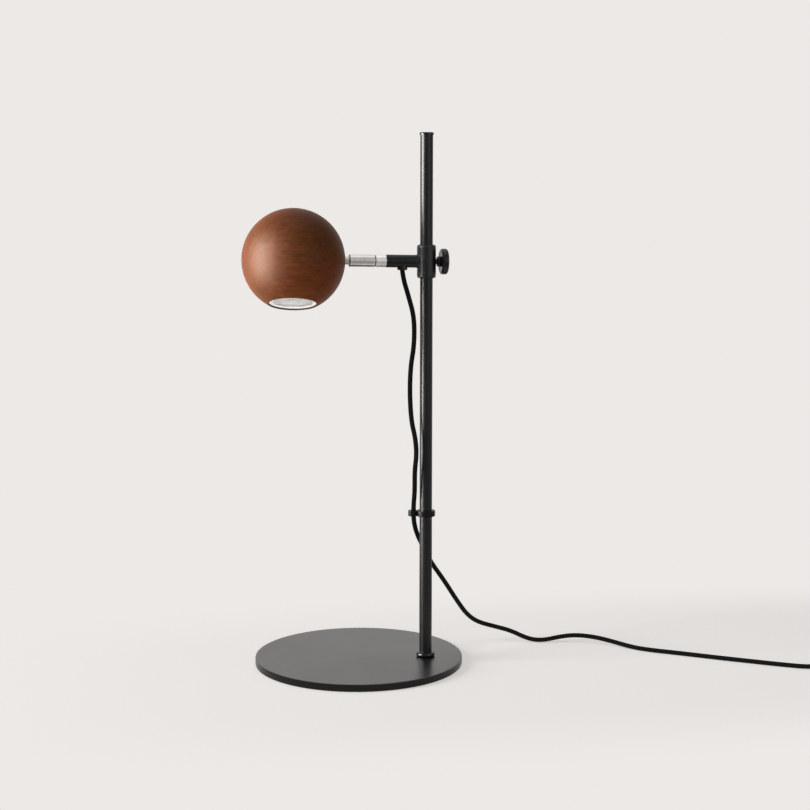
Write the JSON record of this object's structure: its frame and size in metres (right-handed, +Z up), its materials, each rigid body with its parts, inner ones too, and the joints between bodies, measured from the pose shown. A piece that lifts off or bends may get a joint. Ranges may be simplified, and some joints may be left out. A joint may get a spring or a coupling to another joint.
{
  "type": "table lamp",
  "caption": "Table lamp with a round flat base, slim upright stem and a sliding swing arm that ends in a magnetic swivel and a turned wooden ball head.",
  "frame": {"origin": "centre of the base's underside, on the surface the lamp stands on", "axes": "+Z up along the stem; +X level from the ball towards the stem, in the upright plane of the arm, which rises 1 degree towards the ball; +Y away from the side on which the ball's mouth leans out"},
  "size_m": [0.7393, 0.2416, 0.5078],
  "materials": {
    "satin_black": "satin black powder coat, very fine orange peel",
    "gloss_black": "gloss black enamel",
    "cast_black": "semi-gloss black over a slightly rough casting",
    "foam_pad": "matt closed-cell foam",
    "steel": "zinc-plated steel",
    "satin_nickel": "satin nickel, fine turning lines",
    "magnet": "bright nickel plate",
    "brass": "turned, uncoated",
    "pale_brass": "nickel-flashed brass thread",
    "wood": "reddish-brown stain under satin lacquer, fine straight grain",
    "white_trim": "white satin paint",
    "aluminium": "plain, lightly brushed",
    "mirror_cone": "vacuum-metallised, bright",
    "frosted": "frosted",
    "green_board": "epoxy board",
    "white_board": "white solder mask on an aluminium core",
    "cream_plastic": "plain moulding",
    "black_plastic": "fine spark texture",
    "gloss_plastic": "polished moulding",
    "slide_plastic": "smooth low-friction moulding",
    "wire_skin": "smooth insulation",
    "braid": "tight black textile braid",
    "soft_rubber": "matt moulded",
    "strap": "woven tape"
  },
  "bodies": {
    "stand": {"base_plate": "satin_black", "base_pad": "foam_pad", "base_washer": "steel", "base_screw": "steel", "foot_insert": "steel", "foot_collar": "gloss_black", "stem_tube": "satin_black", "stem_cap": "gloss_black", "cable_clip": "black_plastic", "switch_base": "black_plastic", "switch_cover": "black_plastic", "switch_screws": "steel", "switch_contacts": "brass", "switch_relief_in": "soft_rubber", "switch_relief_out": "soft_rubber", "plug_body": "black_plastic", "plug_pins": "magnet", "pin_sleeves": "black_plastic", "plug_relief": "soft_rubber", "cord_coil": "braid", "cord_tie": "strap", "cord_drop": "braid", "cord_floor": "braid", "cord_supply": "braid", "cord_tail": "braid"},
    "rocker": {"switch_rocker": "gloss_plastic"},
    "carriage": {"clamp_liner": "slide_plastic"},
    "arm": {"clamp_body": "cast_black", "arm_tube": "satin_black", "cord_gland": "black_plastic", "arm_wires": "wire_skin", "coupling_ring": "satin_nickel", "arm_magnet": "magnet", "coupling_washer": "slide_plastic", "coupling_pin": "brass", "pin_clip": "steel", "cord_upper": "braid"},
    "pad": {"clamp_pad": "brass"},
    "knob": {"thumb_knob": "gloss_plastic", "knob_screw": "steel"},
    "head": {"coupling_sleeve": "satin_nickel", "head_magnet": "magnet", "neck_nipple": "pale_brass", "neck_nut": "steel", "wood_ball": "wood", "lens_bezel": "white_trim", "module_housing": "aluminium", "spring_clips": "steel", "front_lens": "frosted", "reflector": "mirror_cone", "led_board": "white_board", "heat_sink": "aluminium", "driver_bracket": "cream_plastic", "driver_board": "green_board", "terminal_block": "cream_plastic", "head_wires": "wire_skin"}
  },
  "joints": [
    {"name": "height", "type": "slide", "parent": "stand", "child": "carriage", "axis": [0, 0, 1], "range_m": [-0.07, 0.098], "deforming": ["cord_drop"]},
    {"name": "arm_swing", "type": "hinge", "parent": "carriage", "child": "arm", "pos_m": [0.06289, -0.01521, 0.388], "axis": [0, 0, 1], "range_deg": [-150, 150], "deforming": ["cord_upper"]},
    {"name": "head_turn", "type": "hinge", "parent": "arm", "child": "head", "pos_m": [0.01389, -0.01521, 0.38886], "axis": [0.9998, 0, -0.0175], "range_deg": [-150, 150]},
    {"name": "pad_travel", "type": "slide", "parent": "arm", "child": "pad", "axis": [0.9998, 0, -0.0175], "range_m": [0, 0.0008]},
    {"name": "knob_turn", "type": "hinge", "parent": "pad", "child": "knob", "pos_m": [0.07968, -0.01521, 0.38771], "axis": [0.9998, 0, -0.0175], "range_deg": [0, 360]},
    {"name": "switch_rock", "type": "hinge", "parent": "stand", "child": "rocker", "pos_m": [0.503, -0.1227, 0.0122], "axis": [0.2079, 0.9781, 0], "range_deg": [0, 16]}
  ],
  "couplings": [
    {"joint": "knob_turn", "follows": "pad_travel", "rad_per_m": 7853.9}
  ]
}
